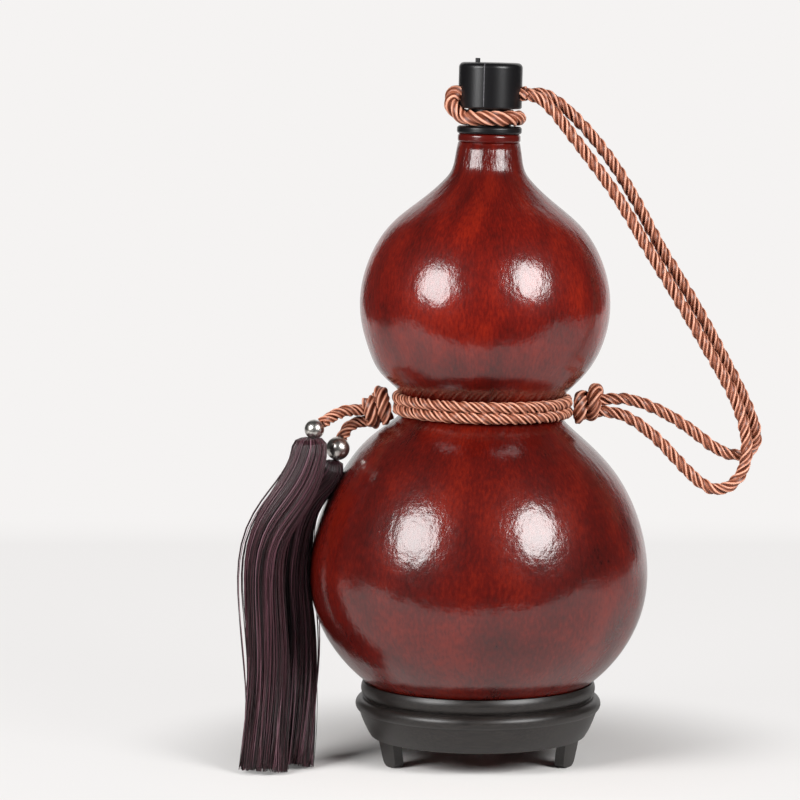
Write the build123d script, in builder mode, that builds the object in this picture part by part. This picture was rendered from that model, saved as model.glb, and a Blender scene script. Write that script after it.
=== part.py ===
from build123d import *
import math
import os

# A lacquered gourd bottle that stands in a turned ring on three legs. A black stopper closes its
# mouth. A doubled cord is hitched under the stopper's knob, comes down the side as a carrying loop
# and is tied round the waist. A second cord is tied round the waist too, and carries two beads and
# two silk tassels. Sizes are in millimetres. The origin is the centre of the stand's footprint on
# the floor, +Z is up and the front faces -Y. The bottle leans a little to +X in its stand.

os.makedirs("parts", exist_ok=True)

# Overrun of a cutting shape past the face that it opens
overrun = 2.0
quarter_turn = 90.0

# Stand: each ring of its outline stands out from the rim's top, or is drawn in from it
stand_height = 33.2
rim_top_radius = 48.6
rim_width = 7.1
rim_bulge = 0.9
rim_bulge_height = 30.3
rim_foot_inset = 0.1
rim_foot_height = 27.3
groove_inset = 0.5
moulding_top_height = 26.7
moulding_bulge = 3.2
moulding_height = 24.2
moulding_foot_bulge = 2.3
moulding_foot_height = 21.4
apron_top_bulge = 1.8
apron_waist_inset = 0.3
apron_waist_height = 15.6
apron_foot_inset = 3.0
apron_height = 10.5
leg_count = 3
first_leg_angle = -150.0
leg_width = 11.8
leg_foot_width = 9.4
leg_thickness = 4.2
leg_rake = 2.0
leg_corner_radius = 3.6
leg_inset = 0.3
peg_radius = 1.3
peg_length = 6.0
peg_gap = 0.1

# Gourd: two bulbs, each with the height of its outline below and above its widest ring. The outlines
# dip into the waist, so the waist lies lower than they would reach.
lean_angle = 1.3
seat_radius = 47.4
seat_gap = 0.3
belly_radius = 71.1
belly_drop = 61.0
belly_rise = 73.0
belly_angles = [-90, -70, -50, -30, -10, 12, 34, 54]
waist_radius = 31.8
waist_dip = 1.1
bulb_radius = 52.5
bulb_dip = 5.9
bulb_drop = 47.5
bulb_crown = 51.5
bulb_angles = [-40, -20, 0, 20, 40, 58]
shoulder_radius = 18.3
shoulder_rise = 0.8
neck_foot_radius = 15.7
neck_foot_rise = 3.4
neck_radius = 13.5
neck_rise = 9.1
neck_top_radius = 12.9
neck_height = 3.3
shell_wall = 3.0
lining_thickness = 0.8
lining_gap = 0.1

# Neck band and mouth ring
band_height = 3.7
band_radius = 13.1
band_round = 1.2
fit_gap = 0.1
flange_height = 3.1
flange_round = 1.0
spigot_length = 14.0
mouth_bore = 8.2

# Stopper
shank_height = 7.4
shank_radius = 9.0
knob_radius = 13.26
knob_height = 19.0
knob_top_round = 2.1
knob_foot_round = 0.8
slot_rise = 6.2
slot_width = 11.4
slot_height = 5.8
nub_radius = 1.0
nub_height = 1.8
nub_offset = -5.5
plug_radius = 7.5
plug_length = 20.0
plug_chamfer = 1.6
stem_radius = 4.0
stem_length = 7.0
seal_wire = 1.7
seal_drop = 5.5
seal_gap = 0.3
seal_groove_gap = 0.1

# Cord
cord_diameter = 5.0
cord_radius = cord_diameter / 2
strand_gap = 0.6
cord_bed_gap = 0.25
hitch_bend = 5.6
hitch_end = 1.8
hitch_spread_angle = 50.0
route_fillet_share = 0.45

# Cord round the waist and its two knots, which lie a little below it. A knot's wraps climb and
# narrow by so much in each turn, and lean out from the bottle, or towards it, at their tops.
belt_pitch = 5.1
belt_bed_gap = 1.4
belt_tie_spread = 3.2
right_knot_drop = 1.1
right_knot_radius = 4.4
right_knot_taper = 0.0
right_knot_climb = 3.0
right_knot_lean_share = -0.15
right_knot_turns = 1.25
left_knot_drop = 2.0
left_knot_radius = 6.4
left_knot_taper = 1.0
left_knot_climb = -1.0
left_knot_lean_share = 0.05
left_knot_turns = 1.0
knot_pitch = 5.7
knot_gap = 0.1

# Routes of the carrying loop's two strands, from the stopper to the right knot
strap_outer_route = [
    (19.9, 2.8, 280.2), (25.5, 2.9, 279.7), (33.5, 3.0, 275.0), (43.9, 3.0, 266.4), (55.6, 3.0, 252.6),
    (66.0, 3.0, 235.5), (75.2, 3.0, 217.5), (85.8, 3.0, 200.6), (95.2, 3.0, 184.6), (103.6, 3.0, 168.6),
    (109.8, 3.0, 156.9), (114.4, 3.0, 146.6), (117.6, 3.0, 136.8), (115.3, 3.2, 130.2), (108.6, 3.4, 127.8),
    (99.4, 3.2, 131.4), (90.5, 2.8, 138.8), (80.4, 2.2, 145.6), (70.3, 1.6, 150.4), (61.6, 1.2, 152.9),
    (52.4, 0.8, 152.5),
]
strap_inner_route = [
    (20.0, -2.8, 280.2), (25.0, -2.9, 279.4), (31.4, -3.0, 272.9), (38.4, -3.0, 263.6), (46.4, -3.0, 253.2),
    (54.6, -3.0, 242.3), (62.1, -3.0, 230.6), (69.6, -3.0, 217.4), (78.2, -3.0, 203.6), (87.7, -3.0, 187.8),
    (96.8, -3.0, 172.2), (104.7, -3.0, 158.8), (109.7, -3.0, 147.6), (112.4, -3.0, 137.0),
    (112.7, -3.1, 128.2), (110.1, -3.3, 120.4), (104.8, -3.5, 115.4), (98.0, -3.5, 114.6),
    (91.4, -3.3, 118.9), (83.9, -3.0, 126.6), (75.0, -2.6, 136.4), (65.2, -2.1, 144.0), (58.8, -1.8, 146.9),
    (52.4, -1.7, 147.6),
]

# Tails of the lower cord, one entry for each: where it leaves the left knot, as a gap to the knot's
# outside, a depth and a height on the knot's own plane, and the way in which it reaches its bead.
# Between them it bends at two shares of the way, by so much in depth and height.
tail_starts = [(0.5, -2.4, -0.1), (-1.5, 0.4, -5.2)]
tail_ways = [(2.9, 2.7, 1.9), (1.5, 3.1, 3.7)]
tail_bends = [
    [(0.36, 1.6, 1.8), (0.73, 0.9, 1.7)],
    [(0.44, 2.0, 2.7), (0.82, 1.9, 2.6)],
]
tail_gap = 0.3

# Beads and tassels, one entry for each. They hang beside the belly: a place there is a distance out
# from its side, a depth, and a share of the waist's height.
bead_radii = [4.1, 4.95]
bead_places = [(-2.5, -17.0, 0.942), (-12.1, -7.5, 0.881)]
bead_hole_radius = 1.1
thread_radius = 0.7
thread_gap = 0.5
collar_radii = [4.4, 3.6]
collar_height = 2.6
collar_round = 0.9
skirt_lobes = 9
skirt_lobe_share = 0.90
# Middle of the silk and its radius, from the collar down to the cut ends
skirt_1_stations = [
    ((-0.8, -17.9, 0.895), 4.8), ((0.1, -18.4, 0.875), 7.0), ((2.7, -19.2, 0.826), 7.9),
    ((8.3, -20.0, 0.758), 8.3), ((13.5, -20.4, 0.699), 8.1), ((17.1, -20.6, 0.632), 7.8),
    ((18.9, -20.6, 0.545), 7.6), ((18.1, -21.2, 0.425), 7.5), ((17.1, -23.4, 0.266), 7.6),
    ((18.3, -27.0, 0.106), 7.9), ((19.5, -29.0, 0.013), 8.0),
]
skirt_2_stations = [
    ((-9.9, -6.9, 0.828), 4.0), ((-8.3, -6.8, 0.812), 5.2), ((-3.9, -6.2, 0.780), 5.9),
    ((1.3, -6.0, 0.728), 6.3), ((4.5, -6.0, 0.675), 6.4), ((6.3, -6.0, 0.604), 6.4),
    ((7.2, -6.0, 0.525), 6.4), ((5.7, -6.8, 0.418), 6.5), ((4.5, -9.0, 0.279), 6.6),
    ((5.3, -12.4, 0.120), 6.7), ((7.3, -14.4, 0.013), 6.8),
]

# The bottle's frame: its foot is the point of its axis that is level with the floor
belly_height = stand_height + belly_drop * math.sqrt(1 - (seat_radius / belly_radius) ** 2)
lean_sine = math.sin(math.radians(lean_angle))
lean_cosine = math.cos(math.radians(lean_angle))
bottle_up = Vector(lean_sine, 0, lean_cosine)
bottle_side = Vector(lean_cosine, 0, -lean_sine)
bottle_foot = Vector(0, 0, belly_height) - bottle_up * belly_height
bottle_axis = Axis(bottle_foot, bottle_up)
bottle_section = Plane(origin=bottle_foot, x_dir=bottle_side, z_dir=(0, -1, 0))

waist_height = belly_height + belly_rise - waist_dip
bulb_height = waist_height + bulb_drop - bulb_dip
shoulder_height = bulb_height + bulb_crown + shoulder_rise
neck_foot_height = shoulder_height + neck_foot_rise
neck_base_height = neck_foot_height + neck_rise
neck_top_height = neck_base_height + neck_height
flange_foot_height = neck_top_height + band_height
flange_top_height = flange_foot_height + flange_height
spigot_foot_height = flange_foot_height - spigot_length
knob_foot_height = flange_top_height + shank_height
knob_top_height = knob_foot_height + knob_height
slot_middle_height = knob_foot_height + slot_rise
neck_bore = neck_radius - shell_wall
spigot_radius = neck_bore - fit_gap
belt_radius = waist_radius + cord_radius + belt_bed_gap


def across_bottle(height):
    """The plane square to the bottle's axis at a height up that axis."""
    return Plane(origin=bottle_foot + bottle_up * height, x_dir=bottle_side, z_dir=bottle_up)


def ring_section(inner, outer, low, high):
    """A rectangle in the bottle's section plane, between two radii and two heights."""
    with BuildSketch(bottle_section) as section:
        with BuildLine():
            Polyline((inner, low), (outer, low), (outer, high), (inner, high), close=True)
        make_face()
    return section.sketch


def bulb_point(height, across, below, above, angle):
    """A point on a bulb's outline: a quarter ellipse below its widest ring and another above it."""
    turn = math.radians(angle)
    tall = above if angle > 0 else below
    return (across * math.cos(turn), height + tall * math.sin(turn))


def gourd_section(inset, top_height, top_radius):
    """Half of the gourd's section, drawn in from its outside by an inset.

    One smooth curve runs from the middle of the underside round both bulbs and into the neck, and
    a straight run up to the neck's top.
    """
    belly = [
        bulb_point(belly_height, belly_radius - inset, belly_drop - inset, belly_rise - inset, angle)
        for angle in belly_angles
    ]
    bulb = [
        bulb_point(bulb_height, bulb_radius - inset, bulb_drop - inset, bulb_crown - inset, angle)
        for angle in bulb_angles
    ]
    waist = (waist_radius - inset, waist_height)
    shoulder = (shoulder_radius - inset, shoulder_height)
    neck_foot = (neck_foot_radius - inset, neck_foot_height)
    neck = (neck_radius - inset, neck_base_height)
    with BuildSketch(bottle_section) as section:
        with BuildLine():
            Spline(*belly, waist, *bulb, shoulder, neck_foot, neck, tangents=[(1, 0), (0, 1)])
            Polyline(neck, (top_radius, top_height), (0, top_height), belly[0])
        make_face()
    return section.sketch


def biarc(start, start_way, end, end_way):
    """Two arcs from one point to another, tangent to a direction at each, or a line where both agree."""
    start, end = Vector(*start), Vector(*end)
    leave, arrive = Vector(*start_way).normalized(), Vector(*end_way).normalized()
    chord = end - start
    if min(chord.normalized().dot(leave), chord.normalized().dot(arrive)) > 1 - 1e-6:
        Line(start, end)
        return
    turned = 1 - leave.dot(arrive)
    along = chord.dot(leave + arrive)
    if turned < 1e-6:
        reach = chord.dot(chord) / (4 * chord.dot(leave))
    else:
        reach = (math.sqrt(along**2 + 2 * turned * chord.dot(chord)) - along) / (2 * turned)
    first, second = start + leave * reach, end - arrive * reach
    middle = (first + second) / 2
    TangentArc(start, middle, tangent=leave)
    TangentArc(middle, end, tangent=second - first)


def wound_route(plane, stations):
    """One unbroken route through stations of a point and a direction, given in a plane's own frame."""
    placed = [
        (plane.from_local_coords(point), plane.from_local_coords(Vector(*point) + Vector(*way)))
        for point, way in stations
    ]
    with BuildLine() as route:
        for (start, start_ahead), (end, end_ahead) in zip(placed, placed[1:]):
            biarc(start, start_ahead - start, end, end_ahead - end)
    return route.wires()[0]


def cord_route(points):
    """Straight runs between the points, joined by tangent arcs as large as the runs allow."""
    corners = [Vector(*point) for point in points]
    runs = [after - before for before, after in zip(corners, corners[1:])]
    radii = []
    for before, after in zip(runs, runs[1:]):
        half_turn = math.radians(before.get_angle(after) / 2)
        radii.append(route_fillet_share * min(before.length, after.length) / math.tan(half_turn))
    with BuildLine() as route:
        FilletPolyline(*points, radius=radii)
    return route.wires()[0]


def tube(route, radius):
    """A round cord swept along a route."""
    with BuildSketch(Plane(origin=route @ 0, z_dir=route % 0)) as section:
        Circle(radius)
    sweep(section.sketch, path=route)


def report_cord(name, route, solid, radius):
    """Prints a cord's length, its tightest arc and how its volume compares with section times length."""
    bends = [edge.radius for edge in route.edges() if edge.geom_type == GeomType.CIRCLE]
    share = solid.volume / (math.pi * radius**2 * route.length)
    print(f"{name}: length {route.length:.1f}, tightest arc {min(bends):.1f}, volume share {share:.4f}")


def report_self_gap(name, route, radius):
    """Prints the least gap that a wound cord leaves to its own other turns."""
    count = 240
    spots = [route @ (i / count) for i in range(count + 1)]
    step = route.length / count
    apart = math.ceil(math.pi * radius * 2 / step)
    gap = min(
        (spots[i] - spots[j]).length for i in range(count + 1) for j in range(i + apart, count + 1)
    )
    print(f"{name}: least gap to itself {gap - 2 * radius:.2f}")


# Gourd shell: the natural gourd with its lacquer, open at the neck
with BuildPart() as gourd_shell:
    revolve(gourd_section(0, neck_top_height, neck_top_radius), axis=bottle_axis)
    gourd_inside = gourd_section(shell_wall, neck_top_height + overrun, neck_bore)
    revolve(gourd_inside, axis=bottle_axis, mode=Mode.SUBTRACT)
gourd_shell.part.label = "gourd_shell"
export_step(gourd_shell.part, "parts/gourd_shell.step")

# Wax lining: the thin sealing coat inside the shell, up to the mouth ring's spigot
lining_top_height = spigot_foot_height - fit_gap
lining_radius = neck_bore - lining_gap
lining_bore = lining_radius - lining_thickness
with BuildPart() as wax_lining:
    revolve(gourd_section(neck_radius - lining_radius, neck_top_height, lining_radius), axis=bottle_axis)
    lining_inside = gourd_section(neck_radius - lining_bore, neck_top_height + overrun, lining_bore)
    revolve(lining_inside, axis=bottle_axis, mode=Mode.SUBTRACT)
    split(bisect_by=across_bottle(lining_top_height), keep=Keep.BOTTOM)
wax_lining.part.label = "wax_lining"
export_step(wax_lining.part, "parts/wax_lining.step")

# Neck band: the lacquered bead between the neck and the mouth ring
with BuildPart() as neck_band:
    revolve(ring_section(neck_bore, band_radius, neck_top_height, flange_foot_height), axis=bottle_axis)
    fillet(neck_band.edges().filter_by(GeomType.CIRCLE).group_by(SortBy.RADIUS)[-1], radius=band_round)
neck_band.part.label = "neck_band"
export_step(neck_band.part, "parts/neck_band.step")

# Mouth ring: a flange on the neck band, with a spigot down the neck and the bore for the plug
with BuildPart() as mouth_ring:
    revolve(ring_section(mouth_bore, neck_radius, flange_foot_height, flange_top_height), axis=bottle_axis)
    fillet(mouth_ring.edges().filter_by(GeomType.CIRCLE).group_by(SortBy.RADIUS)[-1], radius=flange_round)
    revolve(ring_section(mouth_bore, spigot_radius, spigot_foot_height, flange_foot_height), axis=bottle_axis)
mouth_ring.part.label = "mouth_ring"
export_step(mouth_ring.part, "parts/mouth_ring.step")

# Cap hitch: both strands run through the knob's slot, and their bight lies round the shank
slot_plane = across_bottle(slot_middle_height)
strand_offset = cord_radius + strand_gap / 2
hitch_reach = knob_radius + cord_radius + cord_bed_gap
hitch_ring_radius = shank_radius + cord_radius + cord_bed_gap
hitch_drop = slot_middle_height - flange_top_height - cord_radius - cord_bed_gap
hitch_tip = knob_radius + hitch_end


def shank_station(angle):
    """A station on the ring round the shank, heading from the left over the front to the right."""
    turn = math.radians(angle)
    point = (hitch_ring_radius * math.cos(turn), hitch_ring_radius * math.sin(turn), -hitch_drop)
    return point, (-math.sin(turn), math.cos(turn), 0)


hitch_stations = [
    ((hitch_tip, -strand_offset, 0), (-1, 0, 0)),
    ((hitch_bend - hitch_reach, -strand_offset, 0), (-1, 0, 0)),
    ((-hitch_reach, -strand_offset, -hitch_bend), (0, 0, -1)),
    shank_station(180 + hitch_spread_angle),
    shank_station(290),
    shank_station(360),
    shank_station(430),
    shank_station(540 - hitch_spread_angle),
    ((-hitch_reach, strand_offset, -hitch_bend), (0, 0, 1)),
    ((hitch_bend - hitch_reach, strand_offset, 0), (1, 0, 0)),
    ((hitch_tip, strand_offset, 0), (1, 0, 0)),
]
hitch_route = wound_route(slot_plane, hitch_stations)
with BuildPart() as cap_hitch:
    tube(hitch_route, cord_radius)
cap_hitch.part.label = "cap_hitch"
export_step(cap_hitch.part, "parts/cap_hitch.step")
report_cord("cap_hitch", hitch_route, cap_hitch.part, cord_radius)
report_self_gap("cap_hitch", hitch_route, cord_radius)

# Stopper knob: a moulded knob on a shank, with a cross slot whose left mouth is eased for the cord
with BuildPart() as stopper_knob:
    revolve(ring_section(0, knob_radius, knob_foot_height, knob_top_height), axis=bottle_axis)
    low_rim, high_rim = stopper_knob.edges().filter_by(GeomType.CIRCLE).sort_by(Axis.Z)
    fillet(high_rim, radius=knob_top_round)
    fillet(low_rim, radius=knob_foot_round)
    revolve(ring_section(0, shank_radius, flange_top_height, knob_foot_height), axis=bottle_axis)
    with BuildSketch(Plane(origin=slot_plane.origin, x_dir=(0, 1, 0), z_dir=bottle_side)):
        SlotOverall(slot_width, slot_height)
    extrude(amount=knob_radius + overrun, both=True, mode=Mode.SUBTRACT)
    with BuildSketch(Plane(origin=hitch_route @ 0, z_dir=hitch_route % 0)):
        Circle(cord_radius + cord_bed_gap)
    sweep(path=hitch_route, mode=Mode.SUBTRACT)
    with BuildSketch(across_bottle(flange_top_height)):
        Circle(stem_radius + fit_gap)
    extrude(amount=stem_length + fit_gap, mode=Mode.SUBTRACT)
    with BuildSketch(across_bottle(knob_top_height)):
        with Locations((nub_offset, 0)):
            Circle(nub_radius)
    extrude(amount=nub_height)
stopper_knob.part.label = "stopper_knob"
export_step(stopper_knob.part, "parts/stopper_knob.step")

# Stopper plug: the soft plug under the shank, with a stem up into it and a groove for the seal
seal_height = flange_top_height - seal_drop
seal_ring_radius = mouth_bore - seal_gap - seal_wire / 2
groove_half = seal_wire / 2 + seal_groove_gap
with BuildPart() as stopper_plug:
    revolve(ring_section(0, plug_radius, flange_top_height - plug_length, flange_top_height), axis=bottle_axis)
    chamfer(stopper_plug.edges().filter_by(GeomType.CIRCLE).sort_by(Axis.Z)[0], length=plug_chamfer)
    revolve(ring_section(0, stem_radius, flange_top_height, flange_top_height + stem_length), axis=bottle_axis)
    groove = ring_section(
        seal_ring_radius - groove_half, plug_radius + overrun, seal_height - groove_half,
        seal_height + groove_half,
    )
    revolve(groove, axis=bottle_axis, mode=Mode.SUBTRACT)
stopper_plug.part.label = "stopper_plug"
export_step(stopper_plug.part, "parts/stopper_plug.step")

# Stopper seal: an O-ring in the plug's groove
with BuildPart() as stopper_seal:
    with BuildSketch(bottle_section):
        with Locations((seal_ring_radius, seal_height)):
            Circle(seal_wire / 2)
    revolve(axis=bottle_axis)
stopper_seal.part.label = "stopper_seal"
export_step(stopper_seal.part, "parts/stopper_seal.step")

# Carrying loop: two strands from the stopper to the right knot
strap_routes = {"strap_strand_outer": strap_outer_route, "strap_strand_inner": strap_inner_route}
for name, points in strap_routes.items():
    route = cord_route(points)
    with BuildPart() as strap_strand:
        tube(route, cord_radius)
    strap_strand.part.label = name
    export_step(strap_strand.part, f"parts/{name}.step")
    report_cord(name, route, strap_strand.part, cord_radius)


def belt_stations(side, level):
    """One turn round the waist, whose two ends lie side by side behind the knot on one side."""
    off_axis = math.degrees(math.asin(belt_tie_spread / belt_radius))
    stations = []
    for share in (0, 0.25, 0.5, 0.75, 1):
        turn = math.radians(off_axis + (360 - 2 * off_axis) * share)
        point = (side * belt_radius * math.cos(turn), -belt_radius * math.sin(turn), level)
        stations.append((point, (-side * math.sin(turn), -math.cos(turn), 0)))
    return stations


# Waist cords: the strap's cord above, tied at the right, and the tassels' cord below, tied at the left
belts = {
    "waist_cord_upper": (1, belt_pitch / 2),
    "waist_cord_lower": (-1, -belt_pitch / 2),
}
for name, (side, level) in belts.items():
    route = wound_route(across_bottle(waist_height), belt_stations(side, level))
    with BuildPart() as waist_cord:
        tube(route, cord_radius)
    waist_cord.part.label = name
    export_step(waist_cord.part, f"parts/{name}.step")
    report_cord(name, route, waist_cord.part, cord_radius)
    report_self_gap(name, route, cord_radius)


def knot_start(radius, lean_share):
    """How far out from the bottle's axis a knot's first wrap starts, clear of the waist cords."""
    belt_reach = math.sqrt(belt_radius**2 - radius**2)
    lead_share = knot_pitch / (2 * math.pi * radius) + lean_share
    return belt_reach + cord_diameter + knot_gap + cord_diameter * lead_share


def knot_stations(side, radius, taper, climb, lean_share, turns):
    """Wraps round an axis along X that step outwards, with one straight run at each end."""
    steps = max(4, round(turns * 4))
    start = knot_start(radius, lean_share)
    stations = []
    for i in range(steps + 1):
        done = turns * i / steps
        turn = 2 * math.pi * done
        across, up = math.cos(turn), math.sin(turn)
        narrowed = radius - taper * done
        out = start + knot_pitch * done + lean_share * narrowed * up
        point = (side * out, -narrowed * across, narrowed * up + climb * done)
        out_share = knot_pitch / (2 * math.pi * radius) + lean_share * across
        stations.append((point, (side * out_share, up, across + climb / (2 * math.pi * radius))))
    first, first_way = Vector(*stations[0][0]), Vector(*stations[0][1]).normalized()
    last, last_way = Vector(*stations[-1][0]), Vector(*stations[-1][1]).normalized()
    lead_in = (tuple(first - first_way * cord_diameter), tuple(first_way))
    lead_out = (tuple(last + last_way * cord_diameter), tuple(last_way))
    return [lead_in, *stations, lead_out]


# Knots: wraps that hold the drawn-out ends of each waist cord
right_knot_plane = across_bottle(waist_height - right_knot_drop)
left_knot_plane = across_bottle(waist_height - left_knot_drop)
right_knot_stations = knot_stations(
    1, right_knot_radius, right_knot_taper, right_knot_climb, right_knot_lean_share, right_knot_turns
)
left_knot_stations = knot_stations(
    -1, left_knot_radius, left_knot_taper, left_knot_climb, left_knot_lean_share, left_knot_turns
)
knots = {
    "right_knot": (right_knot_plane, right_knot_stations),
    "left_knot": (left_knot_plane, left_knot_stations),
}
for name, (plane, stations) in knots.items():
    route = wound_route(plane, stations)
    with BuildPart() as knot:
        tube(route, cord_radius)
    knot.part.label = name
    export_step(knot.part, f"parts/{name}.step")
    report_cord(name, route, knot.part, cord_radius)
    report_self_gap(name, route, cord_radius)


def beside_belly(place):
    """A point at a distance out from the belly's side, a depth and a share of the waist's height."""
    out, depth, height_share = place
    return Vector(-belly_radius - out, depth, waist_height * height_share)


# Tails: the two free ends of the lower waist cord, from the left knot to the beads
left_knot_outside = -left_knot_stations[-1][0][0] + cord_radius
bead_centres = [beside_belly(place) for place in bead_places]
tails = zip((1, 2), tail_starts, tail_ways, tail_bends, bead_radii, bead_centres)
for number, (gap, depth, height), way, bends, bead_radius, bead_centre in tails:
    start = left_knot_plane.from_local_coords(Vector(-left_knot_outside - gap, depth, height))
    end = bead_centre + Vector(*way).normalized() * (bead_radius + tail_gap)
    points = [start + (end - start) * share + Vector(0, deep, rise) for share, deep, rise in bends]
    route = cord_route([tuple(point) for point in (start, *points, end)])
    with BuildPart() as cord_tail:
        tube(route, cord_radius)
    cord_tail.part.label = f"cord_tail_{number}"
    export_step(cord_tail.part, f"parts/cord_tail_{number}.step")
    report_cord(f"cord_tail_{number}", route, cord_tail.part, cord_radius)


def silk_plane(stations, index):
    """The plane square to the silk's middle line at one station."""
    above = stations[max(index - 1, 0)][0]
    below = stations[min(index + 1, len(stations) - 1)][0]
    down = (below - above).normalized()
    return Plane(origin=stations[index][0], x_dir=Vector(0, 1, 0).cross(down), z_dir=down)


def silk_section(plane, radius):
    """A round section with shallow lobes, where hanks of thread lie side by side."""
    with BuildSketch(plane) as section:
        with BuildLine():
            for lobe in range(skirt_lobes):
                corners = [math.radians(360 * (lobe + share) / skirt_lobes) for share in (0, 0.5, 1)]
                reaches = [radius * skirt_lobe_share, radius, radius * skirt_lobe_share]
                ThreePointArc(*[(r * math.cos(a), r * math.sin(a)) for r, a in zip(reaches, corners)])
        make_face()
    return section.sketch


# Tassels: each hangs on a thread through a drilled metal bead at the end of its tail, and has a
# bound collar over a long silk skirt
skirts = [
    [(beside_belly(place), radius) for place, radius in stations]
    for stations in (skirt_1_stations, skirt_2_stations)
]
tassels = zip((1, 2), bead_radii, bead_centres, collar_radii, skirts)
for number, bead_radius, bead_centre, collar_radius, stations in tassels:
    skirt_top = stations[0][0]
    collar_up = silk_plane(stations, 0).z_dir * -1
    collar_top = skirt_top + collar_up * collar_height
    thread_down = (collar_top - bead_centre).normalized()
    thread_top = bead_centre - thread_down * bead_radius
    bead_side = Vector(0, 1, 0).cross(thread_down).normalized()
    mouth_angle = math.degrees(math.acos(bead_hole_radius / bead_radius))

    with BuildPart() as bead:
        with BuildSketch(Plane(origin=bead_centre, x_dir=bead_side, z_dir=bead_side.cross(thread_down))):
            with BuildLine():
                ball = CenterArc((0, 0), bead_radius, -mouth_angle, 2 * mouth_angle)
                Line(ball @ 1, ball @ 0)
            make_face()
        revolve(axis=Axis(bead_centre, thread_down))
    bead.part.label = f"bead_{number}"
    export_step(bead.part, f"parts/bead_{number}.step")

    with BuildPart() as tassel_thread:
        with BuildSketch(Plane(origin=thread_top, z_dir=thread_down)):
            Circle(thread_radius)
        extrude(amount=(collar_top - thread_top).length - thread_gap)
    tassel_thread.part.label = f"tassel_thread_{number}"
    export_step(tassel_thread.part, f"parts/tassel_thread_{number}.step")

    with BuildPart() as tassel_collar:
        with BuildSketch(Plane(origin=skirt_top, z_dir=collar_up)):
            Circle(collar_radius)
        extrude(amount=collar_height)
        fillet(tassel_collar.edges().filter_by(GeomType.CIRCLE), radius=collar_round)
    tassel_collar.part.label = f"tassel_collar_{number}"
    export_step(tassel_collar.part, f"parts/tassel_collar_{number}.step")

    with BuildPart() as tassel_skirt:
        loft([silk_section(silk_plane(stations, i), station[1]) for i, station in enumerate(stations)])
    tassel_skirt.part.label = f"tassel_skirt_{number}"
    export_step(tassel_skirt.part, f"parts/tassel_skirt_{number}.step")

# Stand ring: rim roll, groove, moulding and a drawn-in apron, dished to the gourd's underside
stand_section = Plane(origin=(0, 0, 0), x_dir=(1, 0, 0), z_dir=(0, -1, 0))
leg_angles = [first_leg_angle + 360 * leg / leg_count for leg in range(leg_count)]
stand_bore = rim_top_radius - rim_width
rim_foot_radius = rim_top_radius - rim_foot_inset
apron_foot_radius = rim_top_radius - apron_foot_inset
leg_outside = apron_foot_radius - leg_inset
leg_middle = leg_outside - leg_thickness / 2
with BuildPart() as stand_ring:
    with BuildSketch(stand_section):
        with BuildLine():
            ThreePointArc(
                (rim_top_radius, stand_height), (rim_top_radius + rim_bulge, rim_bulge_height),
                (rim_foot_radius, rim_foot_height),
            )
            Polyline(
                (rim_foot_radius, rim_foot_height),
                (rim_top_radius - groove_inset, (rim_foot_height + moulding_top_height) / 2),
                (rim_foot_radius, moulding_top_height),
            )
            moulding = ThreePointArc(
                (rim_foot_radius, moulding_top_height), (rim_top_radius + moulding_bulge, moulding_height),
                (rim_top_radius + moulding_foot_bulge, moulding_foot_height),
            )
            step = Line(moulding @ 1, (rim_top_radius + apron_top_bulge, moulding_foot_height))
            Spline(
                step @ 1, (rim_top_radius - apron_waist_inset, apron_waist_height),
                (apron_foot_radius, apron_height),
            )
            Polyline(
                (apron_foot_radius, apron_height), (stand_bore, apron_height), (stand_bore, stand_height),
                (rim_top_radius, stand_height),
            )
        make_face()
    revolve(axis=Axis.Z)
    with BuildSketch(bottle_section):
        with BuildLine():
            seat = EllipticalCenterArc(
                (0, belly_height), belly_radius + seat_gap, belly_drop + seat_gap,
                start_angle=-quarter_turn, arc_size=quarter_turn,
            )
            Polyline(seat @ 1, (0, belly_height), seat @ 0)
        make_face()
    revolve(axis=bottle_axis, mode=Mode.SUBTRACT)
    with BuildSketch(Plane.XY.offset(apron_height)):
        for angle in leg_angles:
            turn = math.radians(angle)
            with Locations((leg_middle * math.cos(turn), leg_middle * math.sin(turn))):
                Circle(peg_radius + peg_gap)
    extrude(amount=peg_length + peg_gap, mode=Mode.SUBTRACT)
stand_ring.part.label = "stand_ring"
export_step(stand_ring.part, "parts/stand_ring.step")

# Stand legs: rounded tongues that carry on the apron's slope down to the floor, pegged into it
for number, angle in enumerate(leg_angles, start=1):
    turn = math.radians(angle)
    outward = (math.cos(turn), math.sin(turn), 0)
    across = (-math.sin(turn), math.cos(turn), 0)
    with BuildPart() as stand_leg:
        with BuildSketch(Plane(origin=(0, 0, 0), x_dir=across, z_dir=outward)):
            with BuildLine():
                half = leg_width / 2
                foot_half = leg_foot_width / 2
                FilletPolyline(
                    (-half, apron_height), (-foot_half, 0), (foot_half, 0), (half, apron_height),
                    radius=leg_corner_radius,
                )
                Line((half, apron_height), (-half, apron_height))
            make_face()
        extrude(amount=apron_foot_radius + overrun)
        with BuildSketch(stand_section):
            with BuildLine():
                Polyline(
                    (leg_outside, apron_height), (leg_outside - leg_rake, 0),
                    (leg_outside - leg_rake - leg_thickness, 0), (leg_outside - leg_thickness, apron_height),
                    close=True,
                )
            make_face()
        revolve(axis=Axis.Z, mode=Mode.INTERSECT)
        with BuildSketch(Plane.XY.offset(apron_height)):
            with Locations((leg_middle * math.cos(turn), leg_middle * math.sin(turn))):
                Circle(peg_radius)
        extrude(amount=peg_length)
    stand_leg.part.label = f"stand_leg_{number}"
    export_step(stand_leg.part, f"parts/stand_leg_{number}.step")
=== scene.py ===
import math

import bmesh
import bpy
import numpy as np
from mathutils import Matrix


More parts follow.
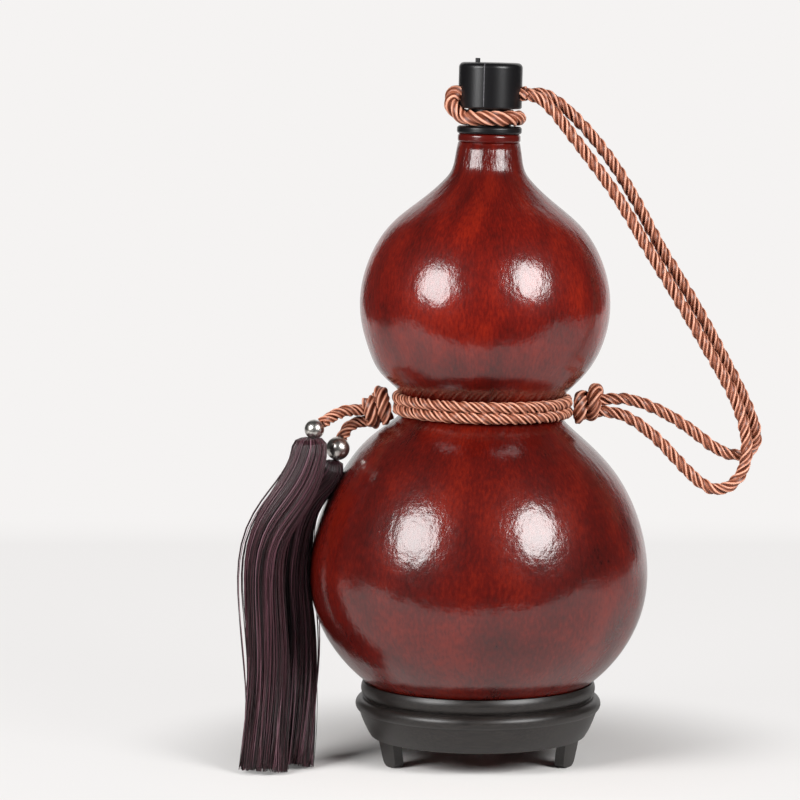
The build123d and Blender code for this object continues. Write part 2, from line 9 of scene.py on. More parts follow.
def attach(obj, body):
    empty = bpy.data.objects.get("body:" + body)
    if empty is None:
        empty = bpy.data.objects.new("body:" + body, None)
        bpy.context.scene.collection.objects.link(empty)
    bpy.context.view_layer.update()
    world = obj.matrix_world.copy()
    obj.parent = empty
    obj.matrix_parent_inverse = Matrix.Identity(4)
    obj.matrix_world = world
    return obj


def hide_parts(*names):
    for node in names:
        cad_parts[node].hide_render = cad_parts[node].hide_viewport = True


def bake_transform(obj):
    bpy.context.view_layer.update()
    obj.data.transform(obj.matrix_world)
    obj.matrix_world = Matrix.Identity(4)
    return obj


# A lacquered gourd bottle with a corded stopper and two silk tassels, in a turned stand.
# Lengths are in metres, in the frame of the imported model: +Z up, the front faces -Y.

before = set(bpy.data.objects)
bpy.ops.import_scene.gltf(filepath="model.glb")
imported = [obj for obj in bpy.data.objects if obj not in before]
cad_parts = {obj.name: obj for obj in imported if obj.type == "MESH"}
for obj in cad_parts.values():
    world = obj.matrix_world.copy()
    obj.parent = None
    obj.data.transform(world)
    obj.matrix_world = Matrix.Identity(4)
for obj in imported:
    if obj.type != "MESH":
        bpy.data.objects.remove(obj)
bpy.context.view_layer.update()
MM = 0.001


# Sizes that the model is built from

STAND_HEIGHT = 33.2 * MM
SEAT_RADIUS = 47.4 * MM
LEAN_ANGLE = math.radians(1.3)

BELLY_RADIUS = 71.1 * MM
BELLY_DROP = 61.0 * MM
BELLY_RISE = 73.0 * MM
BELLY_ANGLES = [-90, -70, -50, -30, -10, 12, 34, 54]
WAIST_RADIUS = 31.8 * MM
WAIST_DIP = 1.1 * MM
BULB_RADIUS = 52.5 * MM
BULB_DIP = 5.9 * MM
BULB_DROP = 47.5 * MM
BULB_CROWN = 51.5 * MM
BULB_ANGLES = [-40, -20, 0, 20, 40, 58]
SHOULDER_RADIUS = 18.3 * MM
SHOULDER_RISE = 0.8 * MM
NECK_FOOT_RADIUS = 15.7 * MM
NECK_FOOT_RISE = 3.4 * MM
NECK_RADIUS = 13.5 * MM
NECK_RISE = 9.1 * MM
NECK_TOP_RADIUS = 12.9 * MM
NECK_HEIGHT = 3.3 * MM
SHELL_WALL = 3.0 * MM
BAND_HEIGHT = 3.7 * MM
FLANGE_HEIGHT = 3.1 * MM
SHANK_HEIGHT = 7.4 * MM
SHANK_RADIUS = 9.0 * MM
KNOB_RADIUS = 13.26 * MM
KNOB_HEIGHT = 19.0 * MM
KNOB_TOP_ROUND = 2.1 * MM
SLOT_RISE = 6.2 * MM

CORD_DIAMETER = 5.0 * MM
CORD_RADIUS = CORD_DIAMETER / 2
STRAND_OFFSET = 2.8 * MM
BELT_PITCH = 5.1 * MM
BELT_STAND_OFF = 1.4 * MM
BELT_RADIUS = WAIST_RADIUS + CORD_RADIUS + BELT_STAND_OFF
KNOT_PITCH = 5.7 * MM
KNOT_GAP = 0.1 * MM

BELLY_HEIGHT = STAND_HEIGHT + BELLY_DROP * math.sqrt(1 - (SEAT_RADIUS / BELLY_RADIUS) ** 2)
BOTTLE_UP = np.array([math.sin(LEAN_ANGLE), 0, math.cos(LEAN_ANGLE)])
BOTTLE_SIDE = np.array([math.cos(LEAN_ANGLE), 0, -math.sin(LEAN_ANGLE)])
BOTTLE_BACK = np.array([0.0, 1.0, 0.0])
BOTTLE_FOOT = np.array([0, 0, BELLY_HEIGHT]) - BOTTLE_UP * BELLY_HEIGHT
WAIST_HEIGHT = BELLY_HEIGHT + BELLY_RISE - WAIST_DIP
BULB_HEIGHT = WAIST_HEIGHT + BULB_DROP - BULB_DIP
SHOULDER_HEIGHT = BULB_HEIGHT + BULB_CROWN + SHOULDER_RISE
NECK_FOOT_HEIGHT = SHOULDER_HEIGHT + NECK_FOOT_RISE
NECK_BASE_HEIGHT = NECK_FOOT_HEIGHT + NECK_RISE
NECK_TOP_HEIGHT = NECK_BASE_HEIGHT + NECK_HEIGHT
FLANGE_TOP_HEIGHT = NECK_TOP_HEIGHT + BAND_HEIGHT + FLANGE_HEIGHT
KNOB_FOOT_HEIGHT = FLANGE_TOP_HEIGHT + SHANK_HEIGHT
SLOT_HEIGHT = KNOB_FOOT_HEIGHT + SLOT_RISE

STRAP_OUTER_ROUTE = np.array([
    (19.9, 2.8, 280.2), (25.9, 2.9, 281.4), (34.2, 3.0, 276.2), (44.1, 3.0, 266.7), (55.6, 3.0, 252.6),
    (66.0, 3.0, 235.5), (75.2, 3.0, 217.5), (85.8, 3.0, 200.6), (95.2, 3.0, 184.6), (103.6, 3.0, 168.6),
    (109.8, 3.0, 156.9), (114.4, 3.0, 146.6), (117.6, 3.0, 136.8), (115.3, 3.2, 130.2), (108.6, 3.4, 127.8),
    (99.4, 3.2, 131.4), (90.5, 2.8, 138.8), (80.4, 2.2, 145.6), (70.3, 1.6, 150.4), (61.6, 1.2, 152.9),
    (52.4, 0.8, 152.5), (46.9, 0.6, 151.3),
]) * MM
STRAP_INNER_ROUTE = np.array([
    (20.0, -2.8, 280.2), (25.0, -2.9, 279.4), (31.4, -3.0, 272.9), (38.4, -3.0, 263.6), (46.4, -3.0, 253.2),
    (54.6, -3.0, 242.3), (62.1, -3.0, 230.6), (69.6, -3.0, 217.4), (78.2, -3.0, 203.6), (87.7, -3.0, 187.8),
    (96.8, -3.0, 172.2), (104.7, -3.0, 158.8), (109.7, -3.0, 147.6), (112.4, -3.0, 137.0),
    (112.7, -3.1, 128.2), (110.1, -3.3, 120.4), (104.8, -3.5, 115.4), (98.0, -3.5, 114.6),
    (91.4, -3.3, 118.9), (83.9, -3.0, 126.6), (75.0, -2.6, 136.4), (65.2, -2.1, 144.0), (58.8, -1.8, 146.9),
    (52.4, -1.7, 147.6), (46.9, -1.5, 147.9),
]) * MM
TAIL_1_ROUTE = np.array([
    (-43.9, -1.5, 148.0), (-48.9, -2.4, 148.3), (-55.2, -5.0, 148.5), (-61.4, -10.2, 146.6),
    (-65.7, -14.3, 143.8),
]) * MM
TAIL_2_ROUTE = np.array([
    (-42.5, 0.5, 143.6), (-47.0, 0.4, 143.2), (-51.7, 0.3, 142.9), (-55.7, -1.6, 140.2),
    (-57.4, -4.3, 136.5),
]) * MM

# Middle of each tassel's silk and its radius, from the dome over the collar down to the cut ends
SKIRT_1_STATIONS = np.array([
    (-70.9, -17.9, 138.5, 1.0), (-70.9, -17.9, 138.2, 4.4), (-70.8, -17.9, 136.8, 6.4),
    (-70.6, -18.0, 134.2, 7.2), (-71.0, -18.4, 131.2, 7.3), (-72.8, -19.2, 124.4, 7.7),
    (-78.0, -20.0, 114.2, 8.2), (-83.8, -20.4, 105.2, 8.2), (-88.2, -20.6, 95.2, 8.0),
    (-89.8, -20.8, 82.0, 8.0), (-88.9, -21.6, 64.0, 8.2), (-87.8, -23.8, 40.0, 8.6),
    (-88.8, -29.0, 16.0, 8.9), (-89.8, -32.5, 0.2, 9.5),
]) * MM
SKIRT_2_STATIONS = np.array([
    (-61.6, -7.0, 127.8, 1.0), (-61.6, -7.0, 127.5, 2.8), (-61.6, -6.9, 126.2, 4.4),
    (-61.8, -6.9, 124.0, 5.2), (-63.0, -6.8, 121.4, 5.7), (-67.2, -6.3, 116.6, 6.1),
    (-72.4, -6.2, 109.6, 6.5), (-75.6, -6.4, 101.6, 6.7), (-77.4, -6.8, 91.0, 6.9),
    (-78.2, -7.2, 79.0, 7.0), (-76.9, -8.0, 63.0, 7.2), (-75.9, -10.4, 42.0, 7.6),
    (-76.8, -16.8, 18.0, 8.0), (-78.4, -22.0, 0.4, 8.4),
]) * MM
BEAD_CENTRES = np.array([(-68.6, -17.0, 141.8), (-59.0, -7.5, 132.7)]) * MM
BEAD_RADII = np.array([4.1, 4.95]) * MM
BEAD_HOLE_RADIUS = 1.1 * MM
BEAD_THREAD_RADIUS = 0.7 * MM
THREAD_TOP_SHARE = 0.8
COLLAR_RADII = np.array([4.4, 3.6]) * MM
COLLAR_HEIGHT = 2.6 * MM
COLLAR_ROUNDING = 8.8
# Ribs of wound thread, as a wave over the collar's height: its turn in radians and its depth
RIB_TURN = 40
RIB_DEPTH = 0.03


# Materials

def linear(code):
    """An sRGB hex colour as linear red, green, blue and a full alpha."""
    shares = np.array([int(code[i:i + 2], 16) / 255 for i in (0, 2, 4)])
    colour = np.where(shares <= 0.04045, shares / 12.92, ((shares + 0.055) / 1.055) ** 2.4)
    return (*colour.tolist(), 1.0)


def add(material, kind, settings=None, links=None):
    """Adds a node. Settings go to its properties, or to sockets by name or number; links feed its sockets."""
    tree = material.node_tree
    node = tree.nodes.new(kind)
    for name, value in (settings or {}).items():
        if isinstance(name, int) or name in node.inputs.keys():
            node.inputs[name].default_value = value
        else:
            setattr(node, name, value)
    for name, source in (links or {}).items():
        tree.links.new(source, node.inputs[name])
    return node


def new_material(name, **settings):
    """A material with one Principled BSDF, and that shader."""
    material = bpy.data.materials.new(name)
    material.use_nodes = True
    shader = material.node_tree.nodes["Principled BSDF"]
    for socket, value in settings.items():
        shader.inputs[socket.replace("_", " ")].default_value = value
    return material, shader


def shade(material, shader, colour=None, roughness=None, normal=None):
    """Feeds a shader's colour, roughness and normal from nodes."""
    for socket, source in (("Base Color", colour), ("Roughness", roughness), ("Normal", normal)):
        if source is not None:
            material.node_tree.links.new(source, shader.inputs[socket])


def stretched(material, source, scale):
    """Coordinates scaled by a different amount along each axis."""
    return add(material, "ShaderNodeMapping", {"Scale": scale}, {"Vector": source}).outputs["Vector"]


def ramp(material, factor, stops):
    """Colours along a factor, from pairs of a place and an sRGB hex colour."""
    node = add(material, "ShaderNodeValToRGB", links={"Fac": factor})
    elements = node.color_ramp.elements
    while len(elements) < len(stops):
        elements.new(0.5)
    for element, (place, code) in zip(elements, stops):
        element.position = place
        element.color = linear(code)
    return node.outputs["Color"]


def place_in(material):
    """The place of a point in the part's own space, in metres."""
    return add(material, "ShaderNodeTexCoord").outputs["Object"]


def noise(material, source, scale, detail, roughness=0.5):
    """Cloudy noise. The scale is in waves per metre, as one number or as one for each axis."""
    if isinstance(scale, tuple):
        source, scale = stretched(material, source, scale), 1.0
    settings = {"Scale": scale, "Detail": detail, "Roughness": roughness}
    return add(material, "ShaderNodeTexNoise", settings, {"Vector": source}).outputs["Fac"]


def bumped(material, height, strength, distance):
    """Normals tipped by a height map whose full height is the distance, in metres."""
    settings = {"Strength": strength, "Distance": distance}
    return add(material, "ShaderNodeBump", settings, {"Height": height}).outputs["Normal"]


def ranged(material, value, settings):
    """A value carried from one range to another."""
    return add(material, "ShaderNodeMapRange", settings, {"Value": value}).outputs["Result"]


def combined(material, operation, first, second):
    """The product or the greater of two values, as the operation says."""
    return add(material, "ShaderNodeMath", {"operation": operation}, {0: first, 1: second}).outputs["Value"]


def lacquered_gourd():
    """Dried gourd under many coats of red-brown lacquer: high gloss over a faintly fibrous skin.

    The UV map is in metres, round the gourd and up its side, so the fibres run up the skin.
    """
    material, shader = new_material(
        "red_brown_lacquer", Roughness=0.5, Coat_Weight=1.0, Coat_Roughness=0.17, Coat_IOR=1.55,
        Specular_IOR_Level=0.06,
    )
    uv = add(material, "ShaderNodeTexCoord").outputs["UV"]
    # Flecks of the skin under the lacquer: about 1.4 mm wide and 3 mm long
    fibres = noise(material, uv, (700, 330, 1), detail=5.0, roughness=0.6)
    # Clouds where the coats lie thicker: about 25 mm
    clouds = noise(material, uv, (45, 32, 1), detail=3.0)
    mixed = add(
        material, "ShaderNodeMix", {"data_type": "FLOAT", "Factor": 0.45}, {"A": clouds, "B": fibres},
    ).outputs["Result"]
    hue = ramp(material, mixed, [(0.32, "3f0704"), (0.50, "680f06"), (0.66, "8a1d0a")])
    # Painted shade: darker on the belly and on the neck, along the 0.33 m up the side
    rise = add(material, "ShaderNodeSeparateXYZ", links={"Vector": uv}).outputs["Y"]
    painted_shade_by_height = ramp(
        material, ranged(material, rise, {"From Max": 0.33}),
        [(0.40, "cfcfcf"), (0.58, "cfcfcf"), (0.72, "ffffff"), (0.84, "f4f4f4"), (0.95, "cbcbcb")],
    )
    colour = add(
        material, "ShaderNodeMix", {"data_type": "RGBA", "blend_type": "MULTIPLY", 0: 1.0},
        {6: hue, 7: painted_shade_by_height},
    ).outputs[2]
    # Orange peel in the top coat: waves from about 16 mm down to 0.5 mm, the fine ones a little steeper
    peel = noise(material, uv, (70, 60, 1), detail=5.0, roughness=0.62)
    bump = bumped(material, peel, 1.0, 0.5 * MM)
    shade(material, shader, colour, normal=bump)
    material.node_tree.links.new(bump, shader.inputs["Coat Normal"])
    return material


def satin_cord():
    """Rayon satin cord: thick twisted plies of bright parallel threads, copper brown, with painted shade in
    the grooves and a painted highlight on each ply's outermost line.

    The UV map is in metres, round a ply and along it. A point attribute is 1 on the outermost line
    of a ply and 0 on its inner side; the colour ramp over it paints shade on the inner side and
    between the yarns, and a pale highlight on the outermost line.
    """
    material, shader = new_material("copper_brown_rayon", Roughness=0.40, Specular_IOR_Level=0.45)
    uv = add(material, "ShaderNodeTexCoord").outputs["UV"]
    # Threads are drawn 0.25 mm wide, coarser than the real ones, so that they show
    threads = noise(material, uv, (3800, 160, 1), detail=3.0, roughness=0.6)
    painted_ply_light = add(material, "ShaderNodeAttribute", {"attribute_name": "painted_ply_light"}).outputs["Fac"]
    lit = add(
        material, "ShaderNodeMath", {"operation": "MULTIPLY_ADD", 1: 0.30}, {0: threads, 2: painted_ply_light},
    ).outputs["Value"]
    # Painted light: from painted shade on a ply's inner side and between yarns up to a pale painted highlight
    # on its outermost line
    colour = ramp(material, lit, [(0.28, "2a1009"), (0.56, "66321f"), (0.86, "a7644b"), (1.0, "e3a489")])
    shade(material, shader, colour, normal=bumped(material, threads, 0.5, 0.12 * MM))
    return material


def silk_floss():
    """Loose filament silk, dyed dark aubergine: each thread catches a narrow mauve shine."""
    material, shader = new_material(
        "aubergine_silk", Roughness=0.36, Specular_IOR_Level=0.5, Sheen_Weight=0.05, Sheen_Roughness=0.4,
    )
    shade_of_thread = add(material, "ShaderNodeAttribute", {"attribute_name": "thread_shade"}).outputs["Fac"]
    stops = [(0.0, "15080b"), (0.5, "37191f"), (0.85, "5c3640"), (1.0, "8a6470")]
    shade(material, shader, ramp(material, shade_of_thread, stops))
    return material


def moulded_plastic():
    """Black polypropylene, injection moulded in a lightly grained mould: a soft satin shine."""
    material, shader = new_material("black_moulded_plastic", Roughness=0.33, Specular_IOR_Level=0.38)
    # Mould grain about 0.4 mm
    grain = noise(material, place_in(material), 2500.0, detail=2.0)
    colour = ramp(material, grain, [(0.35, "0d0c0e"), (0.7, "151416")])
    shade(material, shader, colour, normal=bumped(material, grain, 0.15, 0.08 * MM))
    return material


def flash_plastic():
    """The thin flash that the mould's halves leave on the knob: the same plastic, coloured pale as a painted
    highlight along the ridge.
    """
    material, shader = new_material("pale_flash_painted_highlight", Roughness=0.5, Specular_IOR_Level=0.5)
    pale_mottle = noise(material, place_in(material), 1200.0, detail=2.0)
    # Painted highlight: the pale grey stands for the light that the fine ridge catches
    shade(material, shader, ramp(material, pale_mottle, [(0.3, "4a484b"), (0.7, "77757a")]))
    return material


def plug_rubber():
    """Soft black rubber: dull, with a faint bloom."""
    material, shader = new_material("black_rubber", Roughness=0.62, Specular_IOR_Level=0.4)
    bloom = noise(material, place_in(material), 900.0, detail=3.0)
    shade(material, shader, ramp(material, bloom, [(0.35, "1d1d1d"), (0.7, "2b2a2a")]))
    return material


def polished_steel():
    """Tumbled steel beads: a soft mirror with hairline scratches."""
    material, shader = new_material("polished_steel", Metallic=1.0)
    # Scratches about 0.3 mm apart and 2 mm long
    scratches = noise(material, place_in(material), (3000, 500, 900), detail=4.0)
    rough = ranged(material, scratches, {"To Min": 0.24, "To Max": 0.38})
    shade(material, shader, ramp(material, scratches, [(0.3, "b4b0ab"), (0.7, "d0ccc7")]), roughness=rough)
    return material


def beeswax():
    """Beeswax brushed hot inside the gourd: dull yellow and uneven."""
    material, shader = new_material("beeswax", Roughness=0.55)
    patches = noise(material, place_in(material), 120.0, detail=4.0)
    shade(material, shader, ramp(material, patches, [(0.3, "b08d4c"), (0.7, "d2b673")]))
    return material


def stained_wood():
    """Turned hardwood stained black-brown and waxed: a satin shine over fine turned grain."""
    material, shader = new_material("black_stained_wood", Roughness=0.36, Specular_IOR_Level=0.5)
    # Grain lines about 0.7 mm apart, drawn out along the board
    grain = noise(material, place_in(material), (90, 1400, 1400), detail=5.0, roughness=0.65)
    colour = ramp(material, grain, [(0.32, "120f0e"), (0.5, "1e1a18"), (0.75, "2b2623")])
    rough = ranged(material, grain, {"To Min": 0.30, "To Max": 0.48})
    shade(material, shader, colour, rough, bumped(material, grain, 0.2, 0.1 * MM))
    return material


LACQUER = lacquered_gourd()
CORD = satin_cord()
SILK = silk_floss()
PLASTIC = moulded_plastic()
FLASH = flash_plastic()
RUBBER = plug_rubber()
STEEL = polished_steel()
WAX = beeswax()
WOOD = stained_wood()


# Meshes

def grid_mesh(name, grids, material, wraps=True, spread=None, kept=None):
    """One object from several grids of points, each rows x columns x 3, joined into quads.

    Where wraps is true the last column joins the first. spread gives each grid's UV map as rows x
    columns x 2, with one more column where it wraps. kept gives numbers for an attribute on the
    points, as its name and for each grid a number or rows x columns. Doubled points are merged, so
    caps and poles close.
    """
    places, faces, uvs = [], [], []
    start = 0
    for i, grid in enumerate(grids):
        rows, columns = grid.shape[:2]
        number = np.arange(rows * columns).reshape(rows, columns)
        spot = number
        if wraps:
            number = np.concatenate([number, number[:, :1]], axis=1)
            spot = np.arange(rows * (columns + 1)).reshape(rows, columns + 1)
        corners = [np.s_[:-1, :-1], np.s_[:-1, 1:], np.s_[1:, 1:], np.s_[1:, :-1]]
        faces.append(np.stack([number[c] for c in corners], axis=-1).reshape(-1, 4) + start)
        if spread is not None:
            flat = spread[i].reshape(-1, 2)
            uvs.append(flat[np.stack([spot[c] for c in corners], axis=-1).reshape(-1)])
        places.append(grid.reshape(-1, 3))
        start += rows * columns
    mesh = bpy.data.meshes.new(name)
    mesh.from_pydata(np.concatenate(places).tolist(), [], np.concatenate(faces).tolist())
    if spread is not None:
        mesh.uv_layers.new(name="UVMap").uv.foreach_set("vector", np.concatenate(uvs).ravel())
    if kept is not None:
        label, numbers = kept
        values = [np.broadcast_to(number, grid.shape[:2]).ravel() for number, grid in zip(numbers, grids)]
        mesh.attributes.new(label, "FLOAT", "POINT").data.foreach_set("value", np.concatenate(values))
    merged = bmesh.new()
    merged.from_mesh(mesh)
    bmesh.ops.remove_doubles(merged, verts=merged.verts, dist=1e-7)
    bmesh.ops.recalc_face_normals(merged, faces=merged.faces)
    merged.to_mesh(mesh)
    merged.free()
    mesh.shade_smooth()
    mesh.materials.append(material)
    piece = bpy.data.objects.new(name, mesh)
    bpy.context.scene.collection.objects.link(piece)
    return piece


def on_bottle(radius, turn, height):
    """Points at a radius and turn round the bottle's axis, at a height up it.

    A turn of zero is at the right, and a quarter turn at the back.
    """
    across, back = radius * np.cos(turn), radius * np.sin(turn)
    height = np.broadcast_to(height, np.shape(turn))
    return (
        BOTTLE_FOOT + across[..., None] * BOTTLE_SIDE + back[..., None] * BOTTLE_BACK
        + height[..., None] * BOTTLE_UP
    )


def lengths_along(points):
    """The distance along a line of points up to each of them."""
    return np.concatenate([[0], np.cumsum(np.linalg.norm(np.diff(points, axis=0), axis=1))])


def evenly_spaced(points, step):
    """The same line with its points about a step apart."""
    along = lengths_along(points)
    places = np.linspace(0, along[-1], max(2, round(along[-1] / step) + 1))
    return np.stack([np.interp(places, along, points[:, i]) for i in range(points.shape[1])], axis=1)


def clamped_spline(points, start_way, end_way, per_span):
    """A smooth cubic curve through points with a given direction at each end.

    The knots lie at the distances between the points. The slopes at the knots solve the usual
    band of equations that makes the curvature continuous, and each span is a Hermite cubic.
    """
    points = np.array(points)
    knots = lengths_along(points)
    gaps = np.diff(knots)
    rises = np.diff(points, axis=0) / gaps[:, None]
    count = len(points)
    band = np.eye(count)
    known = np.zeros_like(points)
    known[0], known[-1] = start_way, end_way
    inner = np.arange(1, count - 1)
    band[inner, inner - 1] = gaps[1:]
    band[inner, inner] = 2 * (gaps[:-1] + gaps[1:])
    band[inner, inner + 1] = gaps[:-1]
    known[inner] = 3 * (gaps[1:, None] * rises[:-1] + gaps[:-1, None] * rises[1:])
    slopes = np.linalg.solve(band, known)
    part = np.linspace(0, 1, per_span, endpoint=False)[None, :, None]
    low, high = points[:-1, None], points[1:, None]
    low_slope = slopes[:-1, None] * gaps[:, None, None]
    high_slope = slopes[1:, None] * gaps[:, None, None]
    curve = (
        (2 * part**3 - 3 * part**2 + 1) * low + (part**3 - 2 * part**2 + part) * low_slope
        + (3 * part**2 - 2 * part**3) * high + (part**3 - part**2) * high_slope
    )
    return np.concatenate([curve.reshape(-1, points.shape[1]), points[-1:]])


def turned(name, profile, material, columns, growth):
    """A profile of radius and height turned round the bottle's axis, with a UV map in metres.

    The U axis runs round the piece at its widest and the V axis along the profile. growth is a
    function of radius, turn and height that gives the radius as grown.
    """
    radius = profile[:, :1] * np.ones(columns)
    height = profile[:, 1:] * np.ones(columns)
    turn = np.broadcast_to(np.linspace(0, 2 * math.pi, columns, endpoint=False), radius.shape)
    points = on_bottle(growth(radius, turn, height), turn, height)
    round_way = np.linspace(0, 2 * math.pi * profile[:, 0].max(), columns + 1)
    spread = np.stack(np.broadcast_arrays(round_way[None, :], lengths_along(profile)[:, None]), axis=-1)
    piece = grid_mesh(name, [points], material, spread=[spread])
    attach(piece, "bottle")
    return piece


def carried_frames(path, first_side=None):
    """Two directions across a path at each point, the first carried along it without twist."""
    ways = np.gradient(path, axis=0)
    ways /= np.linalg.norm(ways, axis=1)[:, None]
    side = np.array([0.0, 0.0, 1.0]) if first_side is None else np.array(first_side, float)
    if abs(ways[0] @ side) > 0.95:
        side = np.array([0.0, 1.0, 0.0])
    sides = np.empty_like(path)
    for i, way in enumerate(ways):
        side = side - way * (side @ way)
        side /= np.linalg.norm(side)
        sides[i] = side
    return sides, np.cross(ways, sides)


def tube_grid(path, radius, columns, first_side=None):
    """A closed round tube: each ring is the path plus the radius times the cosine and sine of the turn."""
    sides, others = carried_frames(path, first_side)
    turn = np.linspace(0, 2 * math.pi, columns, endpoint=False)
    radius = np.broadcast_to(radius, len(path))[:, None, None]
    ring = np.cos(turn)[None, :, None] * sides[:, None] + np.sin(turn)[None, :, None] * others[:, None]
    body = path[:, None] + ring * radius
    caps = [np.repeat(path[i][None, None], columns, axis=1) for i in (0, -1)]
    return np.concatenate([caps[0], body, caps[1]])


# A ply turns once round the cord in a lay, and a yarn once round its ply in YARN_LAY
PLIES = 3
PLY_COLUMNS = 24
STRAP_LAY = 14.6 * MM
BELT_LAY = 12.8 * MM
PLY_RADIUS = 1.26 * MM
PLY_OFFSET = 1.24 * MM
PLY_YARNS = 4
YARN_DEPTH = 0.15
YARN_LAY = 55 * MM
YARN_CREST = 0.68
PLY_UV_SHIFT = 0.1


def rope_grids(path, lay=STRAP_LAY, scale=1.0, first_side=None, last_side=None):
    """The plies of a twisted cord, as grids with their UV maps and how far each point stands out.

    A ply's middle is the path plus its offset, turned right-handed by the distance along the path
    over the lay length. Its section is a circle with a lobe for each yarn, and the yarns turn the
    other way. Where the side at the far end is given, the lay is eased so that a ply ends on it. The
    crest is the root of half of one plus the cosine of the turn round the ply from its outermost
    line, and drops by about two thirds between the yarns; it sets the cord's painted shade and
    painted highlight. Each ply has its own part of the UV map.
    """
    sides, others = carried_frames(path, first_side)
    along = lengths_along(path)
    turns = along[-1] / (lay * scale)
    if last_side is not None:
        last = np.array(last_side, float)
        end = math.atan2(last @ others[-1], last @ sides[-1]) / (2 * math.pi)
        turns = end + round((turns - end) * PLIES) / PLIES
    round_ply = np.linspace(0, 2 * math.pi, PLY_COLUMNS + 1)
    grids, spreads, painted_ply_lights = [], [], []
    for ply in range(PLIES):
        turn = 2 * math.pi * (turns * along / along[-1] + ply / PLIES)
        out = np.cos(turn)[:, None] * sides + np.sin(turn)[:, None] * others
        middle = path + out * PLY_OFFSET * scale
        way = np.gradient(middle, axis=0)
        way /= np.linalg.norm(way, axis=1)[:, None]
        out = out - way * np.sum(out * way, axis=1)[:, None]
        out /= np.linalg.norm(out, axis=1)[:, None]
        across = np.cross(way, out)
        yarn = PLY_YARNS * (round_ply[None, :-1] + 2 * math.pi * along[:, None] / (YARN_LAY * scale))
        radius = PLY_RADIUS * scale * (1 + YARN_DEPTH * np.cos(yarn))
        ring = (
            np.cos(round_ply[None, :-1, None]) * out[:, None]
            + np.sin(round_ply[None, :-1, None]) * across[:, None]
        )
        skin = middle[:, None] + ring * radius[..., None]
        caps = [np.repeat(middle[i][None, None], PLY_COLUMNS, axis=1) for i in (0, -1)]
        grids.append(np.concatenate([caps[0], skin, caps[1]]))
        rows = np.concatenate([along[:1], along, along[-1:]]) + ply * PLY_UV_SHIFT
        round_way = round_ply * PLY_RADIUS * scale
        spreads.append(np.stack(np.broadcast_arrays(round_way[None, :], rows[:, None]), axis=-1))
        # Painted shade and highlight factor: highest on a ply's outermost line and on each yarn
        painted_ply_light = np.abs(np.cos(round_ply[None, :-1] / 2)) * (YARN_CREST + (1 - YARN_CREST) * np.cos(yarn))
        painted_ply_lights.append(np.concatenate([painted_ply_light[:1], painted_ply_light, painted_ply_light[-1:]]))
    return grids, spreads, painted_ply_lights


def rope_mesh(name, path, node, **options):
    """A twisted cord along a path, which stands for a CAD node."""
    grids, spreads, painted_ply_lights = rope_grids(path, **options)
    piece = grid_mesh(name, grids, CORD, spread=spreads, kept=("painted_ply_light", painted_ply_lights))
    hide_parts(node)
    return piece


def rope(name, path, body, node, **options):
    """A twisted cord along a path, which rides on one body."""
    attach(rope_mesh(name, path, node, **options), body)


def nurbs_path(points, step=0.6 * MM):
    """Evenly spaced points of the NURBS spline with a route's points as its control points."""
    curve = bpy.data.curves.new("route", "CURVE")
    curve.dimensions = "3D"
    curve.resolution_u = 16
    spline = curve.splines.new("NURBS")
    spline.points.add(len(points) - 1)
    for spot, place in zip(spline.points, points):
        spot.co = (*place, 1)
    spline.order_u = 3
    spline.use_endpoint_u = True
    carrier = bpy.data.objects.new("route", curve)
    mesh = bpy.data.meshes.new_from_object(carrier)
    line = np.empty(len(mesh.vertices) * 3)
    mesh.vertices.foreach_get("co", line)
    bpy.data.objects.remove(carrier)
    bpy.data.curves.remove(curve)
    bpy.data.meshes.remove(mesh)
    return evenly_spaced(line.reshape(-1, 3), step)


# Gourd and its fittings

def bulb_points(height, across, below, above, angles):
    """Points on a bulb's outline: a quarter ellipse below its widest ring and another above it."""
    turn = np.radians(angles)
    tall = np.where(turn > 0, above, below)
    return np.stack([across * np.cos(turn), height + tall * np.sin(turn)], axis=1)


def gourd_profile(inset, top_radius, neck_way):
    """The gourd's outline drawn in by an inset: one smooth curve up both bulbs, then a straight neck."""
    shape = np.concatenate([
        bulb_points(BELLY_HEIGHT, BELLY_RADIUS - inset, BELLY_DROP - inset, BELLY_RISE - inset, BELLY_ANGLES),
        [(WAIST_RADIUS - inset, WAIST_HEIGHT)],
        bulb_points(BULB_HEIGHT, BULB_RADIUS - inset, BULB_DROP - inset, BULB_CROWN - inset, BULB_ANGLES),
        [(SHOULDER_RADIUS - inset, SHOULDER_HEIGHT), (NECK_FOOT_RADIUS - inset, NECK_FOOT_HEIGHT)],
        [(NECK_RADIUS - inset, NECK_BASE_HEIGHT)],
    ])
    curve = clamped_spline(shape, (1, 0), neck_way, 10)
    curve[0, 0] = 0
    return np.concatenate([curve, [(top_radius, NECK_TOP_HEIGHT)]])


# Waves round the gourd: share of the radius, count, start and change of the start per metre of height
GROWTH_WAVES = [(0.0016, 2, 0.6, 21), (0.0009, 5, 2.0, -60)]
# Bulges on the left: how far they stand out, their height over the waist, and how far they spread
LEFT_BULGES = [(2.3 * MM, -15.0 * MM, 10.0 * MM), (1.7 * MM, 12.0 * MM, 8.0 * MM)]


def grown_radius(radius, turn, height):
    """The radius of a gourd that grew unevenly.

    It is the turned radius times slow waves round the gourd, under 0.2 mm high, plus two bell
    curves in height, below and above the waist, that are full on the left and nil on the right.
    """
    waves = 1 + sum(
        size * np.sin(count * turn + start + height * climb)
        for size, count, start, climb in GROWTH_WAVES
    )
    over_waist = height - WAIST_HEIGHT
    bulge = sum(full * np.exp(-((over_waist - rise) / spread) ** 2) for full, rise, spread in LEFT_BULGES)
    return radius * waves + bulge * (1 - np.cos(turn)) / 2


